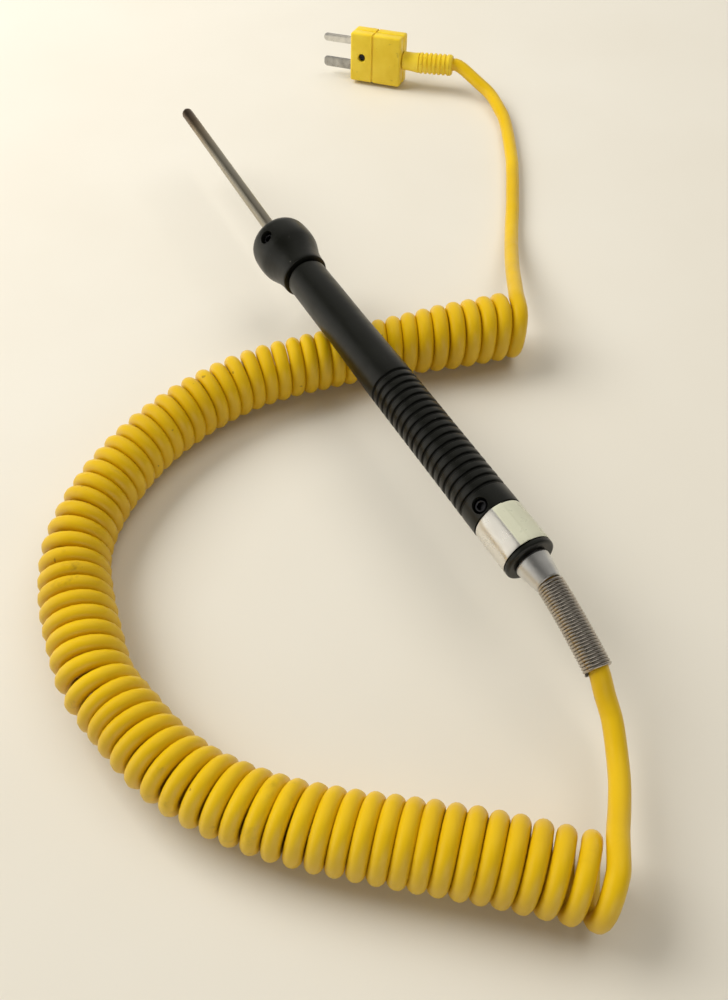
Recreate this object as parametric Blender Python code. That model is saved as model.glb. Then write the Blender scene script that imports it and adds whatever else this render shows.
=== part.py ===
"""Hand-held thermocouple probe: steel sheath, black turned handle, curly yellow cord and miniature plug.

The probe lies level along the Y axis with its tip at +Y, resting on its own curly cord. The origin is the
middle of the probe. Lengths are written in millimetres and turned into metres by MM. +Z is up.
"""

import math

import bmesh
import bpy
from mathutils import Matrix, Vector

MM = 0.001
GAP = 0.3  # running gap between pieces that touch

# Level of the table under the whole object.
TABLE_Z = -19.9

# Steel sheath, which leans a little in the collar.
SHEATH_R = 1.6
SHEATH_BORE = 1.2
SHEATH_PIVOT_Y = 11.0
SHEATH_LEAN = math.radians(1.9)
TIP_Y = 95.0
SHEATH_REAR = -6.0
TIP_LENGTH = (TIP_Y - SHEATH_PIVOT_Y) / math.cos(SHEATH_LEAN)

# Wires inside the sheath.
WIRE_R = 0.17
WIRE_OFFSET = 0.55
BEAD_R = 0.42
SPLICE_R = 0.8
SPLICE_LENGTH = 6.0
SPLICE_OFFSET = 1.0
SPLICE_START = -11.0
TIP_WALL = 1.3
INSULATOR_R = 0.95
INSULATOR_WEB = 0.15

# Front collar.
COLLAR_FRONT_Y = 24.5
COLLAR_REAR_Y = 8.4
COLLAR_R = 7.8
COLLAR_BORE = 2.75
COLLAR_LIP_BORE = 2.3
COLLAR_NECK_R = 4.4
BUSH_R = 2.2
BUSH_BORE = 1.85
BUSH_SPAN = (-4.0, 9.0)

# Handle tube.
HANDLE_FRONT_Y = 7.4
HANDLE_REAR_Y = -87.6
HANDLE_FRONT_R = 5.1
HANDLE_REAR_R = 5.4
HANDLE_BORE = 3.6
HANDLE_TAPER = (-17.0, -33.0)
GROOVE_COUNT = 18
GROOVE_FIRST_Y = -36.3
GROOVE_PITCH = 2.13
GROOVE_WIDTH = 0.9
GROOVE_FLOOR = 0.7
GROOVE_DEPTH = 0.55
LABEL_FRONT_Y = -77.7
LABEL_SEAT_R = 4.9
LABEL_R = 5.5
SPIGOT_R = HANDLE_BORE - GAP

# Rear end: bush, cone and its nut.
END_FLANGE = (-87.9, -89.1)
END_FLANGE_R = 5.35
CONE_FRONT_Y = -89.4
CONE_REAR_Y = -95.0
CONE_R = 3.65
CONE_TIP_R = 2.7
CONE_NECK_R = 2.45
CONE_BORE = 2.2
CONE_NECK_END_Y = -66.5
BUSH_BORE_END_Y = -70.5
NUT_HALF_FLATS = 2.85
NUT_LENGTH = 2.0
NUT_CLEARANCE = 0.12
CRIMP_R = 2.7
CRIMP_LENGTH = 3.0
CORD_END_Y = -61.5

# Set screws: M3 with a 1.5 mm hexagon socket.
SET_SCREW_R = 1.4
SET_SCREW_HOLE_R = 1.67
SET_SCREW_SOCKET = 1.5
SOCKET_DEPTH = 0.9
SCREW_ANGLE = math.radians(38.5)  # from straight up, towards -X
COLLAR_SCREW_Y = 19.5
COLLAR_SCREW_SPAN = (2.7, 7.2)
HANDLE_SCREW_Y = -75.7
HANDLE_SCREW_SPAN = (SPIGOT_R + GAP, 5.05)

# Bend spring around the cord where it leaves the cone.
SPRING_TURNS = 28
SPRING_STEPS_PER_TURN = 10
SPRING_WIRE_R = 0.29
SPRING_R = 2.46
SPRING_START_Y = -95.6
SPRING_LENGTH = 16.9
SPRING_DROP = Vector((-1.1, 0.0, -3.9))
SPRING_BEND_POWER = 1.25

# Cord: straight jacket, coil envelope and inner end.
CORD_R = 1.92
CORD_INNER_R = 1.75
CORE_R = 0.5
COIL_R = 7.25
COIL_TURN_R = 5.5
COIL_LEAD_FLARE = 0.6  # how much wider the coil's envelope is at the lead's end
COIL_TAIL_FLARE = 1.1
COIL_BEND_SWELL = 0.35
COIL_TRIM = 3
ON_TABLE = TABLE_Z + CORD_R
COIL_ROUTE = [
    (-19.1, -141.9),
    (-34.6, -128.3),
    (-57.0, -110.4),
    (-68.0, -99.2),
    (-75.0, -88.5),
    (-79.2, -75.7),
    (-81.4, -60.7),
    (-75.0, -32.9),
    (-54.1, -13.9),
    (-26.8, -6.0),
    (1.3, -9.9),
    (28.6, -18.4),
    (43.4, -22.2),
]
LEAD_ROUTE = [
    (-1.8, -116.0, -6.6),
    (-2.2, -118.1, -7.9),
    (-2.9, -120.4, -8.9),
    (-5.1, -124.8, -10.2),
    (-7.9, -129.2, -10.4),
    (-11.4, -133.4, -9.6),
    (-14.3, -136.3, -8.0),
    (-17.1, -139.5, -6.3),
]
TAIL_ROUTE = [
    (44.6, -18.9, -5.7),
    (48.2, -13.2, -7.8),
    (53.7, -5.1, -10.9),
    (60.3, 4.2, -14.3),
    (66.5, 13.0, -16.9),
    (71.9, 20.6, ON_TABLE),
    (76.6, 27.2, ON_TABLE),
    (86.1, 41.3, ON_TABLE),
    (90.8, 48.9, ON_TABLE),
    (99.7, 65.4, ON_TABLE),
    (102.4, 73.5, -17.4),
    (104.1, 81.3, -16.9),
]

# Plug, in its own frame: +Y towards the blades, +Z across them, the cover's face at -X.
PLUG_CENTRE = (79.4, 114.4)
PLUG_HEADING = math.radians(41.5)
PLUG_LEAN = math.radians(8.0)
PLUG_LENGTH = 18.0
PLUG_WIDTH = 15.6
PLUG_THICKNESS = 7.8
PLUG_ROUND = 0.9
PLUG_CAVITY = (-7.0, 2.4)
PLUG_CAVITY_HALF_WIDTH = 6.3
PLUG_CAVITY_HALF_DEPTH = 2.6
PLUG_STEP_Y = 1.0
PLUG_STEP_WIDTH = 0.8
PLUG_STEP_DEPTH = 0.45
BLADE_SPACING = 7.94
BLADE_LENGTH = 11.0
BLADE_THICKNESS = 0.8
BLADE_WIDTHS = {"positive": 2.39, "negative": 3.17}
BLADE_SIDES = {"positive": 1, "negative": -1}
SHANK_END_Y = -3.0
COVER_SCREW_Y = 4.9
COVER_SCREW_HEAD_R = 1.05
COVER_SCREW_R = 0.7
TERMINAL_Y = -0.6
RELIEF_LENGTH = 16.8
RELIEF_R = 3.0
RELIEF_RIBS = 6
RELIEF_NECK_R = 1.5
RELIEF_FLANGE_R = 2.3
RELIEF_FLANGE_Y = -5.8
RELIEF_RIB_PITCH = 1.75
RELIEF_RIB_DEPTH = 0.4
TERMINAL_HOLE_R = 0.62
TERMINAL_HEAD_R = 1.2
TERMINAL_SHANK_R = 0.4
PLUG_CORE_R = 0.4
SLOT_HALF_WIDTH = 0.16
SLOT_DEPTH = 0.4


def clear_scene():
    for obj in list(bpy.data.objects):
        bpy.data.objects.remove(obj, do_unlink=True)


def material(name, colour, roughness, metallic=0.0):
    made = bpy.data.materials.new(name)
    made.use_nodes = True
    shader = made.node_tree.nodes["Principled BSDF"]
    shader.inputs["Base Color"].default_value = (*colour, 1.0)
    shader.inputs["Roughness"].default_value = roughness
    shader.inputs["Metallic"].default_value = metallic
    return made


def black_plastic():
    return material("black_plastic", (0.022, 0.023, 0.018), 0.42)


def yellow_plastic():
    return material("yellow_plastic", (0.83, 0.56, 0.02), 0.45)


def sheath_steel():
    return material("sheath_steel", (0.46, 0.42, 0.36), 0.32, 1.0)


def spring_steel():
    return material("spring_steel", (0.42, 0.38, 0.34), 0.25, 1.0)


def satin_aluminium():
    return material("satin_aluminium", (0.78, 0.77, 0.75), 0.3, 1.0)


def foil():
    return material("label_foil", (0.74, 0.74, 0.66), 0.25, 0.6)


def dark_steel():
    return material("dark_steel", (0.05, 0.05, 0.055), 0.4, 0.9)


def brass():
    return material("brass", (0.72, 0.53, 0.25), 0.35, 1.0)


def ceramic():
    return material("ceramic", (0.86, 0.83, 0.76), 0.6)


def chromel():
    return material("chromel", (0.72, 0.70, 0.66), 0.25, 1.0)


def alumel():
    return material("alumel", (0.42, 0.42, 0.42), 0.35, 1.0)


def red_plastic():
    return material("red_plastic", (0.6, 0.03, 0.02), 0.5)


def frame(name, location, rotation):
    empty = bpy.data.objects.new(name, None)
    empty.location = Vector(location) * MM
    empty.rotation_euler = rotation
    bpy.context.collection.objects.link(empty)
    return empty


def add(name, mesh, look, parent=None, location=(0, 0, 0), rotation=(0, 0, 0)):
    obj = bpy.data.objects.new(name, mesh)
    bpy.context.collection.objects.link(obj)
    obj.parent = parent
    obj.location = Vector(location) * MM
    obj.rotation_euler = rotation
    if look:
        mesh.materials.append(look)
    return obj


def finish_mesh(name, bm, smooth_angle=math.radians(35)):
    bmesh.ops.remove_doubles(bm, verts=bm.verts, dist=1e-7)
    bmesh.ops.recalc_face_normals(bm, faces=bm.faces)
    mesh = bpy.data.meshes.new(name)
    bm.to_mesh(mesh)
    bm.free()
    if smooth_angle:
        mesh.shade_smooth()
        mesh.set_sharp_from_angle(angle=smooth_angle)
    return mesh


def turned(name, outline, steps=24, closed=True):
    """Mesh turned about Y from (y, r) points; a closed outline makes a piece with a bore through it."""
    bm = bmesh.new()
    verts = [bm.verts.new((r * MM, y * MM, 0)) for y, r in outline]
    pairs = list(zip(verts, verts[1:]))
    if closed:
        pairs.append((verts[-1], verts[0]))
    edges = [bm.edges.new(pair) for pair in pairs]
    bmesh.ops.spin(
        bm,
        geom=verts + edges,
        cent=(0, 0, 0),
        axis=(0, 1, 0),
        dvec=(0, 0, 0),
        angle=math.tau,
        steps=steps,
        use_merge=True,
    )
    return finish_mesh(name, bm)


def ring(name, y_span, r_out, r_in, steps=24):
    low, high = sorted(y_span)
    return turned(name, [(low, r_out), (high, r_out), (high, r_in), (low, r_in)], steps)


def rod(name, y_span, radius, steps=12):
    low, high = sorted(y_span)
    return turned(name, [(low, 0), (low, radius), (high, radius), (high, 0)], steps, closed=False)


def block(name, low, high, round_edges=0.0):
    """Box between two corners, with its edges rounded off."""
    bm = bmesh.new()
    bmesh.ops.create_cube(bm, size=1.0)
    for vert in bm.verts:
        for axis in range(3):
            vert.co[axis] = (high[axis] if vert.co[axis] > 0 else low[axis]) * MM
    if round_edges:
        bmesh.ops.bevel(
            bm, geom=bm.edges[:], offset=round_edges * MM, segments=2, affect="EDGES", profile=0.5
        )
    return finish_mesh(name, bm)


def prism(name, outline, y_span, smooth_angle=math.radians(35)):
    """Outline of (x, z) points drawn out along Y."""
    low, high = sorted(y_span)
    bm = bmesh.new()
    face = bm.faces.new([bm.verts.new((x * MM, low * MM, z * MM)) for x, z in outline])
    drawn = bmesh.ops.extrude_face_region(bm, geom=[face])
    moved = [item for item in drawn["geom"] if isinstance(item, bmesh.types.BMVert)]
    bmesh.ops.translate(bm, verts=moved, vec=(0, (high - low) * MM, 0))
    return finish_mesh(name, bm, smooth_angle)


def arc(centre, radius, start, end, count):
    """Points of an arc in the (y, r) plane, angles measured from +y towards +r."""
    points = []
    for step in range(count + 1):
        angle = math.radians(start + (end - start) * step / count)
        points.append((centre[0] + radius * math.cos(angle), centre[1] + radius * math.sin(angle)))
    return points


def smooth_curve(route, spacing):
    """Points about `spacing` apart on a Catmull-Rom curve through the route."""
    ends = [2 * route[0] - route[1], *route, 2 * route[-1] - route[-2]]
    fine = []
    for a, b, c, d in zip(ends, ends[1:], ends[2:], ends[3:]):
        for step in range(40):
            t = step / 40
            fine.append(
                0.5 * (2 * b + (c - a) * t + (2 * a - 5 * b + 4 * c - d) * t**2 + (3 * b - a - 3 * c + d) * t**3)
            )
    fine.append(route[-1])
    reached = [0.0]
    for p, q in zip(fine, fine[1:]):
        reached.append(reached[-1] + (q - p).length)
    count = max(2, round(reached[-1] / spacing))
    points = []
    index = 0
    for step in range(count + 1):
        target = reached[-1] * step / count
        while index < len(fine) - 2 and reached[index + 1] < target:
            index += 1
        part = (target - reached[index]) / (reached[index + 1] - reached[index])
        points.append(fine[index].lerp(fine[index + 1], min(1.0, part)))
    return points


def tube(name, points, radius, look, sides_setting=2, parent=None, widths=None):
    """Closed round tube along the points; widths can give each point its own share of the radius."""
    curve = bpy.data.curves.new(name, "CURVE")
    curve.dimensions = "3D"
    curve.bevel_depth = radius * MM
    curve.bevel_resolution = sides_setting
    curve.use_fill_caps = True
    curve.twist_mode = "MINIMUM"
    spline = curve.splines.new("POLY")
    spline.points.add(len(points) - 1)
    for point, place, width in zip(spline.points, points, widths or [1.0] * len(points)):
        point.co = (*(Vector(place) * MM), 1.0)
        point.radius = width
    return add(name, curve, look, parent)


def cut(obj, cutter_mesh, parent=None, location=(0, 0, 0), rotation=(0, 0, 0)):
    """Takes the cutter's shape out of the object."""
    cutter = add(cutter_mesh.name, cutter_mesh, None, parent, location, rotation)
    cutter.hide_render = True
    cutter.display_type = "WIRE"
    modifier = obj.modifiers.new(cutter.name, "BOOLEAN")
    modifier.operation = "DIFFERENCE"
    modifier.solver = "EXACT"
    modifier.object = cutter


def sheath_assembly():
    """The sheath and what it holds, on an axis that leans in the collar."""
    axis = frame("sheath_axis", (0, SHEATH_PIVOT_Y, 0), (0, 0, -SHEATH_LEAN))
    nose = SHEATH_R * 0.85
    inner_end = TIP_LENGTH - TIP_WALL
    outline = [(SHEATH_REAR, SHEATH_BORE), (SHEATH_REAR, SHEATH_R)]
    outline += arc((TIP_LENGTH - nose, SHEATH_R - nose), nose, 90, 0, 4)
    outline += [(TIP_LENGTH, 0), (inner_end, 0), (inner_end - 0.5, SHEATH_BORE)]
    mesh = turned("sheath", outline, 24)
    add("sheath", mesh, sheath_steel(), axis)
    bead_y = inner_end - 0.5 - 0.2 - BEAD_R
    bead_outline = arc((bead_y, 0), BEAD_R, 180, 0, 6)
    add("hot_junction_bead", turned("hot_junction_bead", bead_outline, 10, closed=False), chromel(), axis)
    wire_front = bead_y - BEAD_R - 0.15
    wire_rear = SPLICE_START
    insulator(axis, (SHEATH_REAR + 0.4, wire_front - 1.0))
    for pole, side, look in (("positive", 1, chromel()), ("negative", -1, alumel())):
        name = "thermocouple_wire_" + pole
        add(name, rod(name, (wire_rear, wire_front), WIRE_R, 6), look, axis, (side * WIRE_OFFSET, 0, 0))
        splice_name = "splice_" + pole
        splice_mesh = rod(splice_name, (wire_rear - GAP, wire_rear - GAP - SPLICE_LENGTH), SPLICE_R, 12)
        add(splice_name, splice_mesh, brass(), axis, (side * SPLICE_OFFSET, 0, 0))
    bush = ring("sheath_bush", BUSH_SPAN, BUSH_R, BUSH_BORE)
    add("sheath_bush", bush, brass(), axis)
    return axis


def insulator(axis, y_span):
    """Ceramic rod with an open channel along each side, one for each wire."""
    half_gap = WIRE_R + 0.22
    corner = math.asin(half_gap / INSULATOR_R)
    outline = []
    for turn in (0, math.pi):
        for step in range(5):
            angle = turn + corner + (math.pi - 2 * corner) * step / 4
            outline.append((INSULATOR_R * math.cos(angle), INSULATOR_R * math.sin(angle)))
        side = -1 if turn == 0 else 1
        up = 1 if turn == 0 else -1
        outline.append((side * INSULATOR_WEB, up * half_gap))
        outline.append((side * INSULATOR_WEB, -up * half_gap))
    add("insulator_rod", prism("insulator_rod", outline, y_span), ceramic(), axis)


SCREW_TURN = (math.pi / 2, 0, 0)


def set_screw(name, y, span):
    """M3 set screw on its own axis, with a hexagon socket at its outer end."""
    axis = frame(name + "_axis", (0, y, 0), (0, -SCREW_ANGLE, 0))
    inner, outer = span
    chamfer = 0.25
    outline = [
        (inner, 0),
        (inner, SET_SCREW_R - chamfer),
        (inner + chamfer, SET_SCREW_R),
        (outer - chamfer, SET_SCREW_R),
        (outer, SET_SCREW_R - chamfer),
        (outer, 0),
    ]
    screw = add(name, turned(name, outline, 18, closed=False), dark_steel(), axis, (0, 0, 0), SCREW_TURN)
    corner = SET_SCREW_SOCKET / 2 / math.cos(math.pi / 6)
    hexagon = [
        (corner * math.cos(math.pi / 3 * step), corner * math.sin(math.pi / 3 * step)) for step in range(6)
    ]
    socket = prism(name + "_socket_cutter", hexagon, (outer - SOCKET_DEPTH, outer + 1.0), 0)
    cut(screw, socket, axis, (0, 0, 0), SCREW_TURN)
    return axis


def screw_hole(obj, name, axis, span):
    hole = rod(name, span, SET_SCREW_HOLE_R, 20)
    cut(obj, hole, axis, (0, 0, 0), SCREW_TURN)


def front_collar():
    """Bell-shaped finger stop with a spigot that goes into the handle."""
    front = COLLAR_FRONT_Y
    outline = [(front, COLLAR_LIP_BORE), (front, 5.6)]
    outline += [(front - 0.25, 6.5), (front - 0.9, 7.2), (front - 2.0, 7.6), (front - 3.6, COLLAR_R)]
    outline += [(front - 6.2, COLLAR_R), (front - 7.8, 7.6), (front - 9.2, 7.15), (front - 10.8, 6.6)]
    outline += [(front - 12.6, 6.15), (front - 14.4, 5.9), (COLLAR_REAR_Y + 0.3, 5.8), (COLLAR_REAR_Y, 5.55)]
    outline += [(COLLAR_REAR_Y, COLLAR_NECK_R), (HANDLE_FRONT_Y + GAP, COLLAR_NECK_R)]
    outline += [(HANDLE_FRONT_Y + GAP, SPIGOT_R), (-5.0, SPIGOT_R), (-5.0, COLLAR_BORE)]
    outline += [(front - 1.5, COLLAR_BORE), (front - 1.5, COLLAR_LIP_BORE)]
    collar = add("front_collar", turned("front_collar", outline, 28), black_plastic())
    axis = set_screw("collar_set_screw", COLLAR_SCREW_Y, COLLAR_SCREW_SPAN)
    screw_hole(collar, "collar_screw_hole_cutter", axis, (1.5, COLLAR_R + 2.0))


def handle_tube():
    """Turned tube: plain in front, ringed with grip grooves behind, and stepped down under the label."""
    outline = [(HANDLE_FRONT_Y, HANDLE_BORE), (HANDLE_FRONT_Y, 4.55)]
    outline += [(HANDLE_FRONT_Y - 0.2, 4.9), (HANDLE_FRONT_Y - 0.7, HANDLE_FRONT_R)]
    outline += [(HANDLE_TAPER[0], HANDLE_FRONT_R), (HANDLE_TAPER[1], HANDLE_REAR_R)]
    for groove in range(GROOVE_COUNT):
        middle = GROOVE_FIRST_Y - groove * GROOVE_PITCH
        for offset, depth in (
            (GROOVE_WIDTH / 2, 0),
            (GROOVE_FLOOR / 2, GROOVE_DEPTH),
            (-GROOVE_FLOOR / 2, GROOVE_DEPTH),
            (-GROOVE_WIDTH / 2, 0),
        ):
            outline.append((middle + offset, HANDLE_REAR_R - depth))
    outline += [(LABEL_FRONT_Y, HANDLE_REAR_R), (LABEL_FRONT_Y, LABEL_SEAT_R)]
    outline += [(HANDLE_REAR_Y, LABEL_SEAT_R), (HANDLE_REAR_Y, HANDLE_BORE)]
    handle = add("handle_tube", turned("handle_tube", outline, 24), black_plastic())
    axis = set_screw("handle_set_screw", HANDLE_SCREW_Y, HANDLE_SCREW_SPAN)
    screw_hole(handle, "handle_screw_hole_cutter", axis, (2.5, HANDLE_REAR_R + 2.0))


def label_band():
    mesh = ring("label_band", (LABEL_FRONT_Y - GAP, HANDLE_REAR_Y), LABEL_R, LABEL_SEAT_R + GAP, 32)
    add("label_band", mesh, foil())


def end_bush():
    """Black bush in the handle's rear end; its flange shows as a ring behind the label."""
    front, rear = END_FLANGE
    edge = 0.25
    outline = [(rear, CONE_NECK_R + GAP), (rear, END_FLANGE_R - edge), (rear + edge, END_FLANGE_R)]
    outline += [(front, END_FLANGE_R), (front, SPIGOT_R), (BUSH_BORE_END_Y, SPIGOT_R)]
    outline += [(BUSH_BORE_END_Y, CONE_NECK_R + GAP)]
    add("end_bush", turned("end_bush", outline[::-1]), black_plastic())


def cord_cone():
    """Aluminium cone whose hollow neck passes through the end bush."""
    outline = [(CONE_REAR_Y, CONE_BORE), (CONE_REAR_Y, CONE_TIP_R), (CONE_FRONT_Y - 0.3, CONE_R)]
    outline += [(CONE_FRONT_Y, CONE_R - 0.15), (CONE_FRONT_Y, CONE_NECK_R)]
    outline += [(CONE_NECK_END_Y, CONE_NECK_R), (CONE_NECK_END_Y, CONE_BORE)]
    add("cord_cone", turned("cord_cone", outline), satin_aluminium())
    nut_rear = BUSH_BORE_END_Y + GAP
    flat = NUT_HALF_FLATS / math.cos(math.pi / 6)
    hexagon = [(flat * math.cos(math.pi / 3 * step), flat * math.sin(math.pi / 3 * step)) for step in range(6)]
    nut = add("cone_nut", prism("cone_nut", hexagon, (nut_rear, nut_rear + NUT_LENGTH), 0), brass())
    cut(nut, rod("cone_nut_bore_cutter", (nut_rear - 1, nut_rear + 3), CONE_NECK_R + NUT_CLEARANCE, 24))


def spring_axis(part):
    """Point on the spring's middle line, which droops from the cone; part runs from 0 to 1."""
    straight = Vector((0, SPRING_START_Y - part * SPRING_LENGTH, 0))
    return straight + SPRING_DROP * part**SPRING_BEND_POWER if part > 0 else straight


def bend_spring():
    points = []
    count = SPRING_TURNS * SPRING_STEPS_PER_TURN
    for step in range(count + 1):
        part = step / count
        centre = spring_axis(part)
        ahead = (spring_axis(part + 0.01) - centre).normalized()
        across = ahead.cross(Vector((0, 0, 1))).normalized()
        up = across.cross(ahead)
        angle = math.tau * step / SPRING_STEPS_PER_TURN
        points.append(centre + SPRING_R * (across * math.cos(angle) + up * math.sin(angle)))
    tube("bend_spring", points, SPRING_WIRE_R, spring_steel(), 1)


def inner_cord():
    """The cord's end inside the cone and the handle, with its crimp ring and its two cores."""
    route = [Vector((0, CORD_END_Y, 0)), Vector((0, CONE_REAR_Y + GAP, 0))]
    tube("cord_inner_end", route, CORD_INNER_R, yellow_plastic(), 2)
    crimp_front = CORD_END_Y - 0.6
    crimp = ring("cord_crimp_ring", (crimp_front, crimp_front - CRIMP_LENGTH), CRIMP_R, CORD_INNER_R + GAP, 16)
    add("cord_crimp_ring", crimp, satin_aluminium())
    splice_rear = Vector((0, SPLICE_START - 2 * GAP - SPLICE_LENGTH, 0))
    for pole, side, look in (("positive", 1, yellow_plastic()), ("negative", -1, red_plastic())):
        start = splice_rear + Vector((side * SPLICE_OFFSET, 0, 0))
        start.rotate(Matrix.Rotation(-SHEATH_LEAN, 3, "Z"))
        start.y += SHEATH_PIVOT_Y
        end = Vector((side * 0.8, CORD_END_Y + GAP, 0))
        middle = Vector((side * 1.5, (start.y + end.y) / 2, 0))
        tube("cord_core_" + pole, smooth_curve([start, middle, end], 8.0), CORE_R, look, 2)


def ramp(value, start, end):
    """Smooth step from 0 at the start to 1 at the end."""
    part = min(1.0, max(0.0, (value - start) / (end - start)))
    return part * part * (3 - 2 * part)


def coil_radius(part):
    """Radius of the coil's envelope; part runs from 0 at the lead to 1 at the tail."""
    swell = COIL_BEND_SWELL * math.exp(-(((part - 0.45) / 0.05) ** 2))
    return COIL_R + COIL_LEAD_FLARE * ramp(part, 0.24, 0.08) + COIL_TAIL_FLARE * ramp(part, 0.85, 0.95) + swell


def coil_axis():
    """Points 1 mm apart on the coil's middle line, which lies on the table by the coil's own radius."""
    points = smooth_curve([Vector((x, y, 0)) for x, y in COIL_ROUTE], 1.0)
    for step, point in enumerate(points):
        point.z = TABLE_Z + coil_radius(step / (len(points) - 1))
    return points


def free_cord():
    """The lead from the spring, the envelope of the coil, and the tail to the plug."""
    yellow = yellow_plastic()
    axis = coil_axis()
    lead_end = axis[0] + Vector((0, 0, coil_radius(0) - COIL_R + COIL_TURN_R))
    tail_start = axis[-1] + Vector((0, 0, coil_radius(1) - COIL_R + COIL_TURN_R))
    lead = [spring_axis(step / 4) for step in range(5)] + [Vector(place) for place in LEAD_ROUTE] + [lead_end]
    relief_end = PLUG_LENGTH / 2 + GAP + RELIEF_LENGTH
    tail = [tail_start] + [Vector(place) for place in TAIL_ROUTE]
    tail += [behind_plug(relief_end + distance) for distance in (6.5, 3.0, GAP)]
    kept = axis[COIL_TRIM:-COIL_TRIM]
    coil = smooth_curve(kept[::8] + kept[-1:], 9.0)
    widths = [coil_radius(step / (len(coil) - 1)) / COIL_R for step in range(len(coil))]
    tube("cord_lead", smooth_curve(lead, 3.0), CORD_R, yellow, 2)
    tube("cord_coil", coil, COIL_R, yellow, 4, None, widths)
    tube("cord_tail", smooth_curve(tail, 5.0), CORD_R, yellow, 2)


def plug_place():
    """The plug stands on the long edge of its base, leaning a little."""
    half_height = PLUG_WIDTH / 2 * math.cos(PLUG_LEAN) + PLUG_THICKNESS / 2 * math.sin(PLUG_LEAN)
    return Vector((*PLUG_CENTRE, TABLE_Z + half_height))


def behind_plug(distance):
    """Point on the plug's long axis, the given distance behind its middle."""
    rearward = Vector((math.sin(PLUG_HEADING), -math.cos(PLUG_HEADING), 0))
    return plug_place() + rearward * distance


def plug_half(name, side, axis):
    """One half of the plug's case: side -1 is the cover, +1 the base."""
    half_length = PLUG_LENGTH / 2
    half_width = PLUG_WIDTH / 2
    near, far = GAP / 2, PLUG_THICKNESS / 2
    xs = sorted((side * near, side * far))
    low = (xs[0], -half_length, -half_width)
    high = (xs[1], half_length, half_width)
    half = add(name, block(name, low, high, PLUG_ROUND), yellow_plastic(), axis)
    cavity = block(
        name + "_cavity_cutter",
        (-PLUG_CAVITY_HALF_DEPTH, PLUG_CAVITY[0], -PLUG_CAVITY_HALF_WIDTH),
        (PLUG_CAVITY_HALF_DEPTH, PLUG_CAVITY[1], PLUG_CAVITY_HALF_WIDTH),
    )
    cut(half, cavity, axis)
    for pole, width in BLADE_WIDTHS.items():
        middle = BLADE_SIDES[pole] * BLADE_SPACING / 2
        reach = width / 2 + GAP
        slot = block(
            name + "_" + pole + "_slot_cutter",
            (-BLADE_THICKNESS / 2 - GAP, PLUG_CAVITY[1] - 1, middle - reach),
            (BLADE_THICKNESS / 2 + GAP, half_length + 1, middle + reach),
        )
        cut(half, slot, axis)
    cut(half, rod(name + "_neck_cutter", (-half_length - 1, PLUG_CAVITY[0] + 1), RELIEF_NECK_R + GAP, 20), axis)
    step = block(
        name + "_step_cutter",
        (side * far - PLUG_STEP_DEPTH, PLUG_STEP_Y - PLUG_STEP_WIDTH / 2, -half_width - 1),
        (side * far + PLUG_STEP_DEPTH, PLUG_STEP_Y + PLUG_STEP_WIDTH / 2, half_width + 1),
    )
    cut(half, step, axis)
    return half


ACROSS = (0, 0, -math.pi / 2)  # turns a rod along Y to lie along X


def plug_case(axis):
    cover = plug_half("plug_cover", -1, axis)
    base = plug_half("plug_base", 1, axis)
    place = (0, COVER_SCREW_Y, 0)
    wide = rod("cover_head_cutter", (-6.0, -1.4), COVER_SCREW_HEAD_R + 0.2, 16)
    cut(cover, wide, axis, place, ACROSS)
    narrow = rod("cover_shank_cutter", (-3.0, 1.0), COVER_SCREW_R + GAP, 16)
    cut(cover, narrow, axis, place, ACROSS)
    blind = rod("base_shank_cutter", (-1.0, 2.9), COVER_SCREW_R + GAP, 16)
    cut(base, blind, axis, place, ACROSS)


def slotted_screw(name, axis, place, head_span, head_r, shank_end, shank_r):
    """Screw along X with a cross slot in its head, which faces -X."""
    outer, under = head_span
    outline = [
        (outer, 0),
        (outer, head_r - 0.15),
        (outer + 0.15, head_r),
        (under, head_r),
        (under, shank_r),
        (shank_end, shank_r),
        (shank_end, 0),
    ]
    own = frame(name + "_axis", place, ACROSS)
    own.parent = axis
    screw = add(name, turned(name, outline, 16, closed=False), satin_aluminium(), own)
    slot = block(
        name + "_slot_cutter",
        (-SLOT_HALF_WIDTH, outer - 1.0, -head_r - 1),
        (SLOT_HALF_WIDTH, outer + SLOT_DEPTH, head_r + 1),
    )
    cut(screw, slot, own)


def plug_blade(pole, look, axis):
    """Flat contact blade with a narrower shank inside the case."""
    middle = BLADE_SIDES[pole] * BLADE_SPACING / 2
    root = PLUG_LENGTH / 2 + 0.1
    tip = PLUG_LENGTH / 2 + BLADE_LENGTH
    half = BLADE_WIDTHS[pole] / 2
    neck = half - 0.15
    side = [(neck, SHANK_END_Y), (neck, root), (half, root), (half, tip - 0.7), (half - 0.6, tip)]
    outline = side + [(-z, y) for z, y in side[::-1]]
    bm = bmesh.new()
    near = -BLADE_THICKNESS / 2 * MM
    face = bm.faces.new([bm.verts.new((near, y * MM, (z + middle) * MM)) for z, y in outline])
    drawn = bmesh.ops.extrude_face_region(bm, geom=[face])
    moved = [item for item in drawn["geom"] if isinstance(item, bmesh.types.BMVert)]
    bmesh.ops.translate(bm, verts=moved, vec=(BLADE_THICKNESS * MM, 0, 0))
    name = "plug_blade_" + pole
    return add(name, finish_mesh(name, bm, 0), look, axis)


def plug_contacts(axis):
    for pole, look in (("positive", chromel()), ("negative", alumel())):
        blade = plug_blade(pole, look, axis)
        middle = BLADE_SIDES[pole] * BLADE_SPACING / 2
        place = (0, TERMINAL_Y, middle)
        hole = rod("terminal_hole_cutter_" + pole, (-2.0, 2.0), TERMINAL_HOLE_R, 12)
        cut(blade, hole, axis, place, ACROSS)
        slotted_screw("terminal_screw_" + pole, axis, place, (-1.7, -0.55), TERMINAL_HEAD_R, 1.6, TERMINAL_SHANK_R)


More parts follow.
